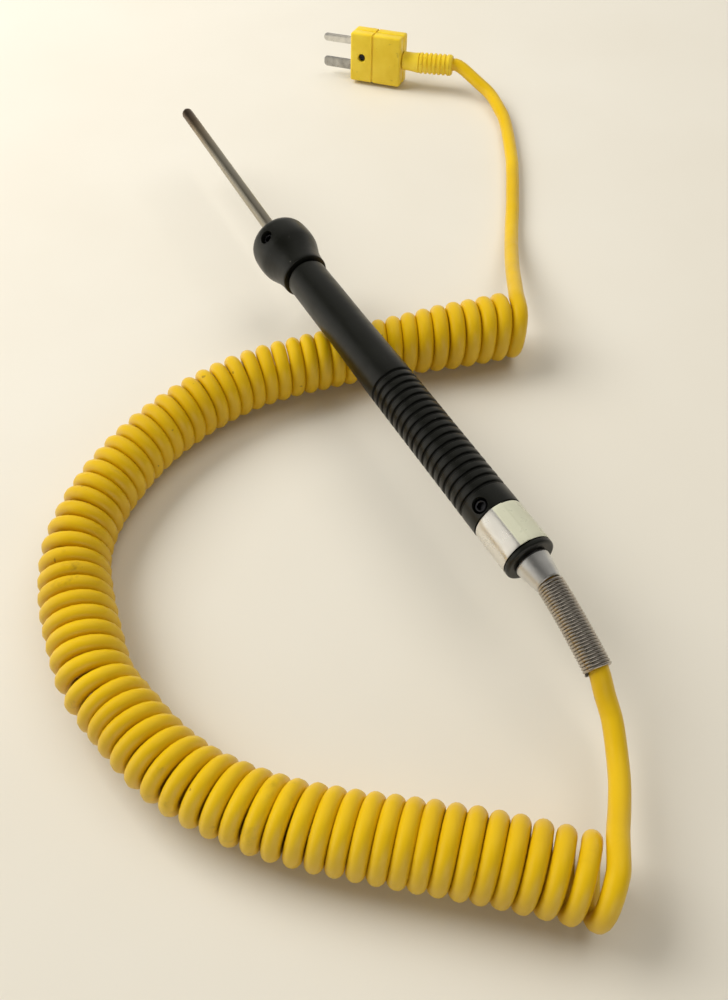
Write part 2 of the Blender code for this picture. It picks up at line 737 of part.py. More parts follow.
def plug_strain_relief(axis):
    """Ribbed sleeve moulded on the cord, with a neck and a flange held in the case."""
    rear = -PLUG_LENGTH / 2 - GAP
    end = rear - RELIEF_LENGTH
    outline = [(RELIEF_FLANGE_Y, 0), (RELIEF_FLANGE_Y, RELIEF_FLANGE_R)]
    outline += [(PLUG_CAVITY[0] + GAP, RELIEF_FLANGE_R), (PLUG_CAVITY[0] + GAP, RELIEF_NECK_R)]
    outline += [(rear, RELIEF_NECK_R), (rear, RELIEF_R), (rear - 2.5, RELIEF_R - 0.1)]
    first = end + 0.9 + RELIEF_RIBS * RELIEF_RIB_PITCH
    for rib in range(RELIEF_RIBS):
        middle = first - (rib + 0.5) * RELIEF_RIB_PITCH
        for offset, depth in ((0.45, 0), (0.2, RELIEF_RIB_DEPTH), (-0.2, RELIEF_RIB_DEPTH), (-0.45, 0)):
            outline.append((middle + offset, RELIEF_R - depth))
    outline += [(end + 0.4, RELIEF_R), (end, RELIEF_R - 0.5), (end, 0)]
    mesh = turned("plug_strain_relief", outline[::-1], 16, closed=False)
    add("plug_strain_relief", mesh, yellow_plastic(), axis)


def plug_cores(axis):
    """The two insulated cores from the strain relief to the terminals."""
    start_y = RELIEF_FLANGE_Y + GAP
    for pole, look in (("positive", yellow_plastic()), ("negative", red_plastic())):
        side = BLADE_SIDES[pole]
        route = [
            Vector((0.0, start_y, side * 0.7)),
            Vector((0.6, start_y + 0.9, side * 1.6)),
            Vector((1.1, start_y + 1.8, side * 3.0)),
            Vector((1.2, start_y + 3.2, side * 3.9)),
        ]
        tube("plug_core_" + pole, smooth_curve(route, 0.9), PLUG_CORE_R, look, 2, axis)


def main():
    clear_scene()
    sheath_assembly()
    front_collar()
    handle_tube()
    label_band()
    end_bush()
    cord_cone()
    bend_spring()
    inner_cord()
    free_cord()
    axis = frame("plug_frame", plug_place(), (0, PLUG_LEAN, PLUG_HEADING))
    plug_case(axis)
    plug_contacts(axis)
    slotted_screw(
        "plug_cover_screw", axis, (0, COVER_SCREW_Y, 0), (-3.1, -1.9), COVER_SCREW_HEAD_R, 2.4, COVER_SCREW_R
    )
    plug_strain_relief(axis)
    plug_cores(axis)


main()
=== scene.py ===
"""Thermocouple probe on a pale table, in daylight from the far left.

Lengths are in millimetres, and MM turns them into metres.
"""

import math

import bmesh
import bpy
from mathutils import Matrix, Vector, noise


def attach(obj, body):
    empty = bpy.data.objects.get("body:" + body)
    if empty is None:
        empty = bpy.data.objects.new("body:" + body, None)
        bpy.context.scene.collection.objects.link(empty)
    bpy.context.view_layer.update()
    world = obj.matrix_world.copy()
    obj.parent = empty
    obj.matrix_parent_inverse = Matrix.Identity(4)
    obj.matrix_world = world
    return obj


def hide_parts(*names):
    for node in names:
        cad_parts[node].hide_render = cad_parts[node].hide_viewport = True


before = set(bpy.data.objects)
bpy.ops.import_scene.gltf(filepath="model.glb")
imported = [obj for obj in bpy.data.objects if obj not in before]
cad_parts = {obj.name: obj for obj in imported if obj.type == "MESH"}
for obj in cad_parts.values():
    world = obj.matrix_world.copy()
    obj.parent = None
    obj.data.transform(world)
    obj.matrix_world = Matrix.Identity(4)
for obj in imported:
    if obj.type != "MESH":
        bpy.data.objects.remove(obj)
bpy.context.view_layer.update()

MM = 0.001
TABLE_Z = -19.9

# Camera in the row frame: where it stands, and its three axes.
CAMERA_PLACE = (-70.5, -160.7, 145.8)
CAMERA_RIGHT = (0.87906, -0.47597, -0.02648)
CAMERA_UP = (0.39215, 0.69045, 0.60786)
CAMERA_LENS = 32.91
SENSOR_WIDTH = 36.0

# The table reaches this far from the probe each way.
TABLE_REACH = 2500

# The room that the glossy pieces mirror. It is dim overall, with pale low walls that fade out between two
# elevations, given as sines. It has brighter sides: direction, how far off it the light begins and is full,
# given as cosines, and strength.
ROOM_COLOUR = (1.0, 0.97, 0.90, 1.0)
ROOM_DIM = 0.07
ROOM_LOW_WALLS = 0.42
ROOM_LOW_WALL_TOP = (0.04, 0.32)
ROOM_BRIGHT_SIDES = (
    ((0.62, 0.55, 0.56), 0.45, 0.92, 0.34),
    ((-0.80, 0.39, 0.37), 0.84, 0.96, 0.8),
    ((-0.25, -0.95, 0.20), 0.80, 0.97, 1.1),
)

# Cord. The route's points are those of the CAD model. Only the tail's differ, by up to 0.6 mm where it leaves
# the coil and where it comes to the plug, and by one more point there.
CORD_R = 1.95
COILED_R = 1.76
ON_TABLE = TABLE_Z + CORD_R

# Curly stretch: its envelope, and the circle of the cord's middle line in a turn.
COIL_TURNS = 71
POINTS_PER_TURN = 22
COIL_SAMPLES = 700
COIL_R = 7.25
COIL_TURN_R = 5.48
# Growth of the envelope's radius at the lead's end, at the tail's end and on the left bend.
COIL_LEAD_FLARE = 0.6
COIL_TAIL_FLARE = 1.1
COIL_BEND_SWELL = 0.35
# Extra room for each turn near the tail, where the cord is also thicker, and how far the last turns lean.
COIL_TAIL_SPAN = (0.84, 0.90)
COIL_TAIL_SLACK = 0.10
COIL_TAIL_LEAN = 1.1
# Random looseness of the turns, across and along the coil.
COIL_LOOSE_ACROSS = 0.10
COIL_LOOSE_ALONG = 0.16
COIL_ROUTE = [
    (-19.1, -141.9),
    (-34.6, -128.3),
    (-57.0, -110.4),
    (-68.0, -99.2),
    (-75.0, -88.5),
    (-79.2, -75.7),
    (-81.4, -60.7),
    (-75.0, -32.9),
    (-54.1, -13.9),
    (-26.8, -6.0),
    (1.3, -9.9),
    (28.6, -18.4),
    (43.4, -22.2),
]

# Bend spring at the cord's exit.
SPRING_START_Y = -95.3
SPRING_LENGTH = 17.2
SPRING_DROP = Vector((-1.1, 0.0, -3.9))
SPRING_BEND_POWER = 1.25
SPRING_TURNS = 29
SPRING_POINTS_PER_TURN = 28
SPRING_WIRE_R = 0.306
SPRING_R = 2.45

# The cord's loose stretches: from the bend spring to the coil, and from the coil to the strain relief.
LEAD_ROUTE = [
    (-1.8, -116.0, -6.6),
    (-2.2, -118.1, -7.9),
    (-2.9, -120.4, -8.9),
    (-5.1, -124.8, -10.2),
    (-7.9, -129.2, -10.4),
    (-11.4, -133.4, -9.6),
    (-14.3, -136.3, -8.0),
    (-17.1, -139.5, -6.3),
]
TAIL_ROUTE = [
    (45.0, -19.0, -5.6),
    (48.7, -13.3, -7.9),
    (53.9, -5.2, -10.9),
    (60.3, 4.2, -14.3),
    (66.5, 13.0, -16.9),
    (71.9, 20.6, ON_TABLE),
    (76.6, 27.2, ON_TABLE),
    (86.1, 41.3, ON_TABLE),
    (90.8, 48.9, ON_TABLE),
    (99.7, 65.4, ON_TABLE),
    (102.4, 73.5, -17.4),
    (103.9, 81.1, -16.6),
    (102.6, 87.0, -14.8),
]

# Sheath, which leans a little in the finger stop. Its lengths run from the pivot.
SHEATH_PIVOT_Y = 11.0
SHEATH_LEAN = math.radians(1.9)
SHEATH_FRAME = Matrix.Translation((0, SHEATH_PIVOT_Y, 0)) @ Matrix.Rotation(-SHEATH_LEAN, 4, "Z")
TIP_Y = 95.0
TIP_LENGTH = (TIP_Y - SHEATH_PIVOT_Y) / math.cos(SHEATH_LEAN)
SHEATH_REAR = -6.0
SHEATH_R = 1.6
SHEATH_BORE = 1.2
NOSE_R = 1.35
TIP_WALL = 1.3

# Finger stop: its outer outline from the front rim to the rear rim, as y and radius.
COLLAR_OUTLINE = [
    (24.5, 5.0),
    (24.35, 6.2),
    (23.75, 7.05),
    (22.5, 7.58),
    (20.4, 7.78),
    (18.2, 7.77),
    (16.6, 7.58),
    (15.2, 7.15),
    (13.6, 6.6),
    (11.9, 6.16),
    (10.1, 5.92),
    (8.4, 5.82),
    (8.05, 5.6),
]
COLLAR_FRONT_Y = 24.5
COLLAR_REAR_Y = 8.05
COLLAR_BORE = 2.75
COLLAR_LIP_BORE = 2.3
COLLAR_LIP_Y = 23.0
COLLAR_NECK_R = 4.4
COLLAR_NECK_Y = 7.75
SPIGOT_R = 3.3
SPIGOT_REAR_Y = -5.0

# Set screws: angle from the vertical, size, and where each stands along the probe.
SCREW_ANGLE = math.radians(38.5)
SET_SCREW_R = 1.4
SET_SCREW_CHAMFER = 0.3
HEXAGON_APOTHEM = 0.76
HEXAGON_DEPTH = 1.0
COLLAR_SCREW_Y = 19.5
HANDLE_SCREW_Y = -75.7

# Handle.
HANDLE_FRONT_Y = 7.4
HANDLE_REAR_Y = -87.6
HANDLE_FRONT_R = 5.12
HANDLE_R = 5.4
HANDLE_BORE = 3.6
HANDLE_TAPER = (-17.0, -33.0)
LABEL_SEAT_Y = -77.7
LABEL_SEAT_R = 4.9
GROOVES = 18
GROOVE_FIRST_Y = -36.3
GROOVE_PITCH = 2.13
GROOVE_DEPTH = 0.56
GROOVE_HALF_TOP = 0.47
GROOVE_HALF_FLOOR = 0.36

# Foil label: a strip wrapped once round the handle, whose ends overlap.
LABEL_SPAN = (-87.75, -78.0)
LABEL_R = 5.22
LABEL_FOIL = 0.14
LABEL_SEAM = math.radians(-24)
LABEL_OVERLAP = math.radians(24)
LABEL_STEPS = 120
LABEL_LIFT = 0.22
LABEL_LIFT_TURN = 0.35
LABEL_EDGE_PINCH = 0.05

# Plug.
PLUG_HEADING = math.radians(41.5)
PLUG_LEAN = math.radians(8.0)
PLUG_LENGTH = 18.0
PLUG_WIDTH = 15.6
PLUG_THICKNESS = 7.8
PLUG_RISE = PLUG_WIDTH / 2 * math.cos(PLUG_LEAN) + PLUG_THICKNESS / 2 * math.sin(PLUG_LEAN)
PLUG_PLACE = Vector((79.4, 114.4, TABLE_Z + PLUG_RISE))
PLUG_TURN = Matrix.Rotation(PLUG_HEADING, 4, "Z") @ Matrix.Rotation(PLUG_LEAN, 4, "Y")
PLUG_FRAME = Matrix.Translation(PLUG_PLACE) @ PLUG_TURN
PLUG_EDGE = 0.75
SPLIT_HALF_GAP = 0.15
STEP_SPAN = (0.65, 1.35)
STEP_DEPTH = 0.4
STEP_NOTCH = 0.45
STEP_EDGE = 0.12

# Blades. The plug's screws stand across it, at these distances along it.
BLADE_SPACING = 7.94
BLADE_REACH = 11.0
BLADE_HALF_THICK = 0.4
POSITIVE_WIDTH = 2.39
NEGATIVE_WIDTH = 3.17
COVER_SCREW_Y = 4.9
TERMINAL_SCREW_Y = -0.6

# Strain relief: distances run from the plug's rear face.
RELIEF_NECK_R = 2.9
RELIEF_GROWTH = 0.4
RELIEF_GROWTH_SPAN = (2.5, 7.0)
RELIEF_RIB_SPAN = (5.6, 16.2)
RELIEF_RIB_PITCH = 1.55
RELIEF_RIB_DEPTH = 0.38
RELIEF_SWING = math.radians(8)


# ---------------------------------------------------------------- materials


class Look:
    """A Principled material and short ways to add nodes to it."""

    def __init__(self, name, colour, roughness, metallic=0.0, **sockets):
        self.material = bpy.data.materials.new(name)
        self.material.use_nodes = True
        self.tree = self.material.node_tree
        self.shader = self.tree.nodes["Principled BSDF"]
        self.shader.inputs["Base Color"].default_value = (*colour, 1.0)
        self.shader.inputs["Roughness"].default_value = roughness
        self.shader.inputs["Metallic"].default_value = metallic
        for socket, value in sockets.items():
            self.shader.inputs[socket.replace("_", " ")].default_value = value
        self.place = self.tree.nodes.new("ShaderNodeTexCoord").outputs["Object"]

    def node(self, kind, inputs, **settings):
        made = self.tree.nodes.new("ShaderNode" + kind)
        for key, value in settings.items():
            setattr(made, key, value)
        for key, value in inputs.items():
            self.join(value, made.inputs[key])
        return made

    def join(self, value, socket):
        if isinstance(value, bpy.types.NodeSocket):
            self.tree.links.new(value, socket)
        else:
            socket.default_value = value

    def set(self, socket, value):
        self.join(value, self.shader.inputs[socket])

    def math(self, operation, a, b=0.0, clamp=False):
        made = self.node("Math", {0: a, 1: b}, operation=operation)
        made.use_clamp = clamp
        return made.outputs[0]

    def noise(self, size_mm, detail=2.0, roughness=0.5, place=None, stretch=(1, 1, 1)):
        """Noise from 0 to 1 with features of about this size."""
        scale = 1000.0 / size_mm
        moved = self.node(
            "VectorMath", {0: place or self.place, 1: [scale * s for s in stretch]}, operation="MULTIPLY"
        )
        return self.node(
            "TexNoise", {"Vector": moved.outputs[0], "Scale": 1.0, "Detail": detail, "Roughness": roughness}
        ).outputs["Fac"]

    def spread(self, value, low, high, to_low=0.0, to_high=1.0):
        """The value stretched from low..high to to_low..to_high, and held at these past the ends."""
        limits = {"From Min": low, "From Max": high, "To Min": to_low, "To Max": to_high}
        return self.node("MapRange", {"Value": value, **limits}).outputs["Result"]

    def mix(self, factor, a, b):
        """Colour between a and b."""
        made = self.tree.nodes.new("ShaderNodeMix")
        made.data_type = "RGBA"
        self.join(factor, made.inputs[0])
        for index, value in ((6, a), (7, b)):
            if not isinstance(value, bpy.types.NodeSocket):
                value = (*value, 1.0)
            self.join(value, made.inputs[index])
        return made.outputs[2]

    def axis(self, name):
        return self.node("SeparateXYZ", {0: self.place}).outputs[name]

    def bump(self, height, distance_mm, strength=1.0):
        made = self.node("Bump", {"Height": height, "Strength": strength, "Distance": distance_mm * MM})
        previous = self.shader.inputs["Normal"]
        if previous.is_linked:
            self.join(previous.links[0].from_socket, made.inputs["Normal"])
        self.set("Normal", made.outputs["Normal"])


def cord_look():
    """Rubbery yellow jacket in two tones, with grime, most of it on the left bend, and small dark specks."""
    gloss = {"Specular_IOR_Level": 0.45, "Coat_Weight": 0.08, "Coat_Roughness": 0.25}
    look = Look("cord_jacket", (0.76, 0.5, 0.004), 0.4, **gloss)
    tone = look.noise(26, 3, 0.55)
    fine = look.noise(1.3, 4, 0.6)
    colour = look.mix(look.spread(tone, 0.3, 0.7), (0.64, 0.39, 0.0016), (0.77, 0.50, 0.005))
    patches = look.noise(9, 3, 0.65)
    grime = look.math("MULTIPLY", look.spread(patches, 0.6, 0.74), look.spread(fine, 0.42, 0.66), True)
    left_bend = look.spread(look.axis("X"), -0.052, -0.072)
    amount = look.math("ADD", look.math("MULTIPLY", left_bend, 0.55), 0.10)
    grime = look.math("MULTIPLY", grime, amount, True)
    specks = look.spread(look.noise(2.2, 1, 0.4), 0.79, 0.81)
    grime = look.math("MAXIMUM", grime, look.math("MULTIPLY", specks, 0.55), True)
    look.set("Base Color", look.mix(grime, colour, (0.13, 0.062, 0.010)))
    look.set("Roughness", look.spread(look.noise(5, 3), 0.3, 0.7, 0.34, 0.5))
    look.set("Subsurface Weight", 0.04)
    look.set("Subsurface Radius", (0.0012, 0.0007, 0.0001))
    look.set("Subsurface Scale", 1.0)
    look.bump(fine, 0.03)
    look.bump(look.noise(0.22, 2), 0.006)
    return look.material


def moulded_yellow():
    """The plug's harder plastic, paler than the cord, with a fine moulded grain."""
    look = Look("moulded_yellow", (0.86, 0.66, 0.05), 0.42, Specular_IOR_Level=0.45)
    tone = look.noise(7, 3)
    colour = look.mix(look.spread(tone, 0.35, 0.65), (0.80, 0.56, 0.018), (0.88, 0.65, 0.045))
    specks = look.math("MULTIPLY", look.spread(look.noise(1.6, 2), 0.68, 0.76), 0.4)
    look.set("Base Color", look.mix(specks, colour, (0.30, 0.19, 0.03)))
    look.set("Roughness", look.spread(look.noise(2, 3), 0.3, 0.7, 0.36, 0.52))
    look.set("Subsurface Weight", 0.1)
    look.set("Subsurface Radius", (0.001, 0.0006, 0.0001))
    look.set("Subsurface Scale", 1.0)
    look.bump(look.noise(0.18, 3), 0.012)
    return look.material


def black_look():
    """Satin black plastic, turned: fine rings round the axis, a few scuffs and pale specks of wear."""
    look = Look("handle_black", (0.004, 0.004, 0.003), 0.36, Specular_IOR_Level=0.38)
    rings = look.noise(0.09, 2, 0.5, stretch=(0.004, 1, 0.004))
    rings_wide = look.noise(0.7, 2, 0.5, stretch=(0.02, 1, 0.02))
    tone = look.noise(6, 3)
    colour = look.mix(tone, (0.0030, 0.0032, 0.0022), (0.0065, 0.0070, 0.0048))
    strokes = look.spread(look.noise(1.2, 4, 0.7, stretch=(1, 0.25, 1)), 0.63, 0.74)
    patches = look.spread(look.noise(14, 2), 0.5, 0.68)
    scuff = look.math("MULTIPLY", strokes, patches, True)
    specks = look.spread(look.noise(0.9, 1, 0.3), 0.835, 0.85)
    wear = look.math("MAXIMUM", look.math("MULTIPLY", scuff, 0.2), specks, True)
    look.set("Base Color", look.mix(wear, colour, (0.10, 0.10, 0.085)))
    look.set("Roughness", look.spread(look.noise(3.5, 4), 0.3, 0.7, 0.30, 0.43))
    look.bump(rings, 0.006)
    look.bump(rings_wide, 0.01)
    return look.material


def sheath_look():
    """Drawn stainless tube, browned by heat towards its tip."""
    look = Look("sheath_steel", (0.5, 0.45, 0.36), 0.3, 1.0)
    along = look.axis("Y")
    lines = look.noise(0.10, 3, 0.6, stretch=(1, 0.03, 1))
    patch = look.noise(5, 3)
    colour = look.mix(patch, (0.37, 0.335, 0.265), (0.48, 0.44, 0.36))
    wander = look.math("MULTIPLY", look.math("SUBTRACT", patch, 0.5), 0.006)
    reach = look.math("ADD", along, wander)
    straw = look.spread(reach, 0.066, 0.086)
    brown = look.spread(reach, 0.083, 0.0915)
    colour = look.mix(look.math("MULTIPLY", straw, 0.8), colour, (0.27, 0.19, 0.10))
    colour = look.mix(look.math("MULTIPLY", brown, 0.85), colour, (0.085, 0.050, 0.028))
    look.set("Base Color", colour)
    look.set("Roughness", look.spread(patch, 0.3, 0.7, 0.32, 0.42))
    look.bump(lines, 0.004)
    return look.material


def turned_metal(name, colour, roughness):
    """Metal turned on a lathe about the probe's axis."""
    look = Look(name, colour, roughness, 1.0)
    darker = tuple(0.82 * c for c in colour)
    look.set("Base Color", look.mix(look.noise(2.5, 4), darker, colour))
    look.set("Roughness", look.spread(look.noise(1.4, 3), 0.3, 0.7, roughness * 0.85, roughness * 1.2))
    look.bump(look.noise(0.12, 2, 0.5, stretch=(0.01, 1, 0.01)), 0.008)
    return look.material


def plain_metal(name, colour, roughness, grain_mm=0.3, stain=0.25):
    """Metal with soft stains, darker by this share, and a fine grain."""
    look = Look(name, colour, roughness, 1.0)
    darker = tuple((1 - stain) * c for c in colour)
    look.set("Base Color", look.mix(look.spread(look.noise(1.8, 4), 0.3, 0.7), darker, colour))
    look.set("Roughness", look.spread(look.noise(0.9, 3), 0.3, 0.7, roughness * 0.8, roughness * 1.25))
    look.bump(look.noise(grain_mm, 3), 0.005)
    return look.material


def foil_look():
    """Silvered film: mirror-bright on the left, a duller cream print on the right, faint creases."""
    look = Look("label_foil", (0.8, 0.8, 0.72), 0.2, 0.9)
    across = look.axis("X")
    print_edge = look.spread(across, -0.00225, -0.00205)
    look.set("Base Color", look.mix(print_edge, (0.80, 0.775, 0.72), (0.62, 0.62, 0.475)))
    look.set("Metallic", look.spread(print_edge, 0.0, 1.0, 0.8, 0.12))
    look.set("Roughness", look.spread(look.noise(2.2, 3), 0.3, 0.7, 0.24, 0.36))
    look.bump(look.noise(1.8, 3, 0.55, stretch=(1, 0.35, 1)), 0.02)
    look.bump(look.noise(0.35, 2), 0.004)
    return look.material


def insulation(name, dark, light):
    """Plastic skin of a core or of the cord's inner end."""
    look = Look(name, light, 0.45)
    look.set("Base Color", look.mix(look.noise(3, 3), dark, light))
    look.set("Roughness", look.spread(look.noise(1.2, 2), 0.3, 0.7, 0.38, 0.55))
    look.bump(look.noise(0.4, 3), 0.01)
    return look.material


def ceramic_look():
    """Off-white fired ceramic with a fine grain."""
    look = Look("ceramic", (0.86, 0.83, 0.76), 0.7)
    look.set("Base Color", look.mix(look.noise(1.0, 4), (0.74, 0.70, 0.62), (0.88, 0.86, 0.80)))
    look.bump(look.noise(0.12, 3), 0.01)
    return look.material


# ---------------------------------------------------------------- geometry


def add(name, mesh, material=None, body="probe", replaces=()):
    """Links the piece, lets it ride on a body and stand for CAD nodes."""
    obj = bpy.data.objects.new(name, mesh)
    bpy.context.scene.collection.objects.link(obj)
    if material:
        mesh.materials.append(material)
    if body:
        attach(obj, body)
        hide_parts(*replaces)
    return obj


def finish_mesh(name, bm, place=None, sharp=32):
    """Mesh in metres from a bmesh in millimetres, shaded smooth up to this angle; 0 leaves it flat."""
    bmesh.ops.recalc_face_normals(bm, faces=bm.faces)
    mesh = bpy.data.meshes.new(name)
    bm.to_mesh(mesh)
    bm.free()
    scale = Matrix.Scale(MM, 4)
    mesh.transform(scale @ place if place else scale)
    if sharp:
        mesh.shade_smooth()
        mesh.set_sharp_from_angle(angle=math.radians(sharp))
    return mesh


def soften(outline, amount, steps=3, closed=True):
    """The outline with every corner rounded off by up to `amount`."""
    made = []
    count = len(outline)
    for index, corner in enumerate(outline):
        if not closed and index in (0, count - 1):
            made.append(corner)
            continue
        here = Vector(corner)
        before = Vector(outline[index - 1]) - here
        after = Vector(outline[(index + 1) % count]) - here
        if before.length < 1e-6 or after.length < 1e-6 or corner[1] == 0:
            made.append(corner)
            continue
        cut = min(amount, 0.45 * before.length, 0.45 * after.length)
        start = here + before.normalized() * cut
        end = here + after.normalized() * cut
        for step in range(steps + 1):
            t = step / steps
            made.append(tuple((1 - t) ** 2 * start + 2 * t * (1 - t) * here + t * t * end))
    return made


def spun(bm, outline, sides, closed):
    """Rings about Y from (y, r) points, joined by faces."""
    rings = []
    for y, r in outline:
        if r < 1e-6:
            rings.append([bm.verts.new((0, y, 0))] * sides)
            continue
        turns = [math.tau * step / sides for step in range(sides)]
        rings.append([bm.verts.new((r * math.sin(a), y, r * math.cos(a))) for a in turns])
    pairs = list(zip(rings, rings[1:])) + ([(rings[-1], rings[0])] if closed else [])
    for a, b in pairs:
        for step in range(sides):
            nxt = (step + 1) % sides
            corners = list(dict.fromkeys((a[step], a[nxt], b[nxt], b[step])))
            if len(corners) > 2:
                bm.faces.new(corners)


def lathe(name, outline, sides=96, closed=True, place=None):
    """Body turned about Y from an outline of (y, r) points; an open outline starts and ends on the axis."""
    bm = bmesh.new()
    spun(bm, outline, sides, closed)
    return finish_mesh(name, bm, place)


def cylinder(name, low, high, radius, sides=48, place=None):
    """Solid cylinder along Y."""
    return lathe(name, [(low, 0), (low, radius), (high, radius), (high, 0)], sides, False, place)


def prism(name, outline, low, high, place):
    """Outline of (x, z) points drawn along Y."""
    bm = bmesh.new()
    ends = [[bm.verts.new((x, y, z)) for x, z in outline] for y in (low, high)]
    bm.faces.new(ends[0])
    bm.faces.new(ends[1])
    for step in range(len(outline)):
        nxt = (step + 1) % len(outline)
        bm.faces.new((ends[0][step], ends[0][nxt], ends[1][nxt], ends[1][step]))
    return finish_mesh(name, bm, place, 0)


def block(name, low, high, edge=0.0, place=None):
    """Box between two corners, with its edges rounded by `edge`."""
    bm = bmesh.new()
    bmesh.ops.create_cube(bm, size=1.0)
    for vert in bm.verts:
        for axis in range(3):
            vert.co[axis] = high[axis] if vert.co[axis] > 0 else low[axis]
    if edge:
        bmesh.ops.bevel(bm, geom=bm.edges[:], offset=edge, segments=4, affect="EDGES", profile=0.5)
    return finish_mesh(name, bm, place)


def carve(mesh, cutters, sharp=30):
    """The mesh with the cutter meshes taken out of it."""
    obj = bpy.data.objects.new("carved", mesh)
    bpy.context.scene.collection.objects.link(obj)
    helpers = []
    for cutter in cutters:
        helper = bpy.data.objects.new("cutter", cutter)
        bpy.context.scene.collection.objects.link(helper)
        helpers.append(helper)
        modifier = obj.modifiers.new("cut", "BOOLEAN")
        modifier.operation = "DIFFERENCE"
        modifier.solver = "EXACT"
        modifier.object = helper
    bpy.context.view_layer.update()
    graph = bpy.context.evaluated_depsgraph_get()
    made = bpy.data.meshes.new_from_object(obj.evaluated_get(graph))
    made.name = mesh.name
    for extra in [obj, *helpers]:
        bpy.data.objects.remove(extra)
    made.shade_smooth()
    made.set_sharp_from_angle(angle=math.radians(sharp))
    return made


def curve_points(route, per_span):
    """Points of a Catmull-Rom curve through the route."""
    ends = [2 * route[0] - route[1], *route, 2 * route[-1] - route[-2]]
    made = []
    for a, b, c, d in zip(ends, ends[1:], ends[2:], ends[3:]):
        for step in range(per_span):
            t = step / per_span
            linear = (c - a) * t
            square = (2 * a - 5 * b + 4 * c - d) * t**2
            cube = (3 * b - a - 3 * c + d) * t**3
            made.append(0.5 * (2 * b + linear + square + cube))
    made.append(route[-1])
    return made


def resample(points, count):
    """`count` + 1 points at even distances along the points, and the whole length."""
    reached = [0.0]
    for a, b in zip(points, points[1:]):
        reached.append(reached[-1] + (b - a).length)
    made = []
    index = 0
    for step in range(count + 1):
        target = reached[-1] * step / count
        while index < len(points) - 2 and reached[index + 1] < target:
            index += 1
        part = (target - reached[index]) / max(1e-9, reached[index + 1] - reached[index])
        made.append(points[index].lerp(points[index + 1], min(1.0, part)))
    return made, reached[-1]


def swept(name, centres, radii, sides):
    """Closed round body along the centres, with a radius at each."""
    bm = bmesh.new()
    across = None
    rings = []
    for index, centre in enumerate(centres):
        ahead = centres[min(index + 1, len(centres) - 1)] - centres[max(index - 1, 0)]
        ahead.normalize()
        if across is None:
            across = ahead.orthogonal().normalized()
        across = (across - ahead * across.dot(ahead)).normalized()
        up = ahead.cross(across)
        turns = [math.tau * step / sides for step in range(sides)]
        rings.append(
            [bm.verts.new(centre + radii[index] * (across * math.cos(a) + up * math.sin(a))) for a in turns]
        )
    for a, b in zip(rings, rings[1:]):
        for step in range(sides):
            nxt = (step + 1) % sides
            bm.faces.new((a[step], a[nxt], b[nxt], b[step]))
    bm.faces.new(rings[0])
    bm.faces.new(rings[-1])
    return finish_mesh(name, bm, sharp=40)


# ---------------------------------------------------------------- camera, floor, light


def make_camera():
    """Camera that stands where the photo was taken from."""
    data = bpy.data.cameras.new("camera")
    data.lens = CAMERA_LENS
    data.sensor_width = SENSOR_WIDTH
    data.clip_start = 0.005
    data.clip_end = 20.0
    camera = bpy.data.objects.new("camera", data)
    bpy.context.scene.collection.objects.link(camera)
    right = Vector(CAMERA_RIGHT).normalized()
    up = Vector(CAMERA_UP)
    up = (up - right * up.dot(right)).normalized()
    turn = Matrix((right, up, right.cross(up))).transposed().to_4x4()
    camera.matrix_world = Matrix.Translation(Vector(CAMERA_PLACE) * MM) @ turn
    bpy.context.scene.camera = camera


def make_floor():
    """Table top, which is scenery and not a piece of the object."""
    bm = bmesh.new()
    bmesh.ops.create_grid(bm, x_segments=1, y_segments=1, size=TABLE_REACH)
    look = Look("table_top", (0.80, 0.77, 0.71), 0.55)
    tone = look.noise(60, 3)
    look.set("Base Color", look.mix(look.spread(tone, 0.3, 0.7), (0.775, 0.73, 0.635), (0.80, 0.76, 0.67)))
    look.bump(look.noise(0.8, 3), 0.01)
    mesh = finish_mesh("table_top", bm, Matrix.Translation((0, 0, TABLE_Z)))
    floor = add("table_top", mesh, look.material, body=None)


def area_light(name, place, target, size, power, colour):
    """Square soft light, in metres and watts. The glossy pieces mirror the room and not the light."""
    data = bpy.data.lights.new(name, "AREA")
    data.shape = "SQUARE"
    data.size = size
    data.energy = power
    data.color = colour
    light = bpy.data.objects.new(name, data)
    bpy.context.scene.collection.objects.link(light)
    light.location = place
    light.rotation_euler = (Vector(target) - Vector(place)).to_track_quat("-Z", "Y").to_euler()
    light.visible_glossy = False


def make_room():
    """The room that the glossy pieces mirror."""
    world = bpy.data.worlds.new("room")
    bpy.context.scene.world = world
    world.use_nodes = True
    tree = world.node_tree
    direction = tree.nodes.new("ShaderNodeTexCoord").outputs["Generated"]

    def step(value, low, high, to_low, to_high):
        made = tree.nodes.new("ShaderNodeMapRange")
        made.interpolation_type = "SMOOTHSTEP"
        tree.links.new(value, made.inputs["Value"])
        for name, number in (("From Min", low), ("From Max", high), ("To Min", to_low), ("To Max", to_high)):
            made.inputs[name].default_value = number
        return made.outputs["Result"]

    height = tree.nodes.new("ShaderNodeSeparateXYZ")
    tree.links.new(direction, height.inputs[0])
    total = step(height.outputs["Z"], *ROOM_LOW_WALL_TOP, ROOM_LOW_WALLS + ROOM_DIM, ROOM_DIM)
    for towards, begins, full, strength in ROOM_BRIGHT_SIDES:
        facing = tree.nodes.new("ShaderNodeVectorMath")
        facing.operation = "DOT_PRODUCT"
        facing.inputs[1].default_value = Vector(towards).normalized()
        tree.links.new(direction, facing.inputs[0])
        both = tree.nodes.new("ShaderNodeMath")
        both.operation = "ADD"
        tree.links.new(total, both.inputs[0])
        tree.links.new(step(facing.outputs["Value"], begins, full, 0.0, strength), both.inputs[1])
        total = both.outputs[0]
    back = tree.nodes["Background"]
    back.inputs["Color"].default_value = ROOM_COLOUR
    tree.links.new(total, back.inputs["Strength"])


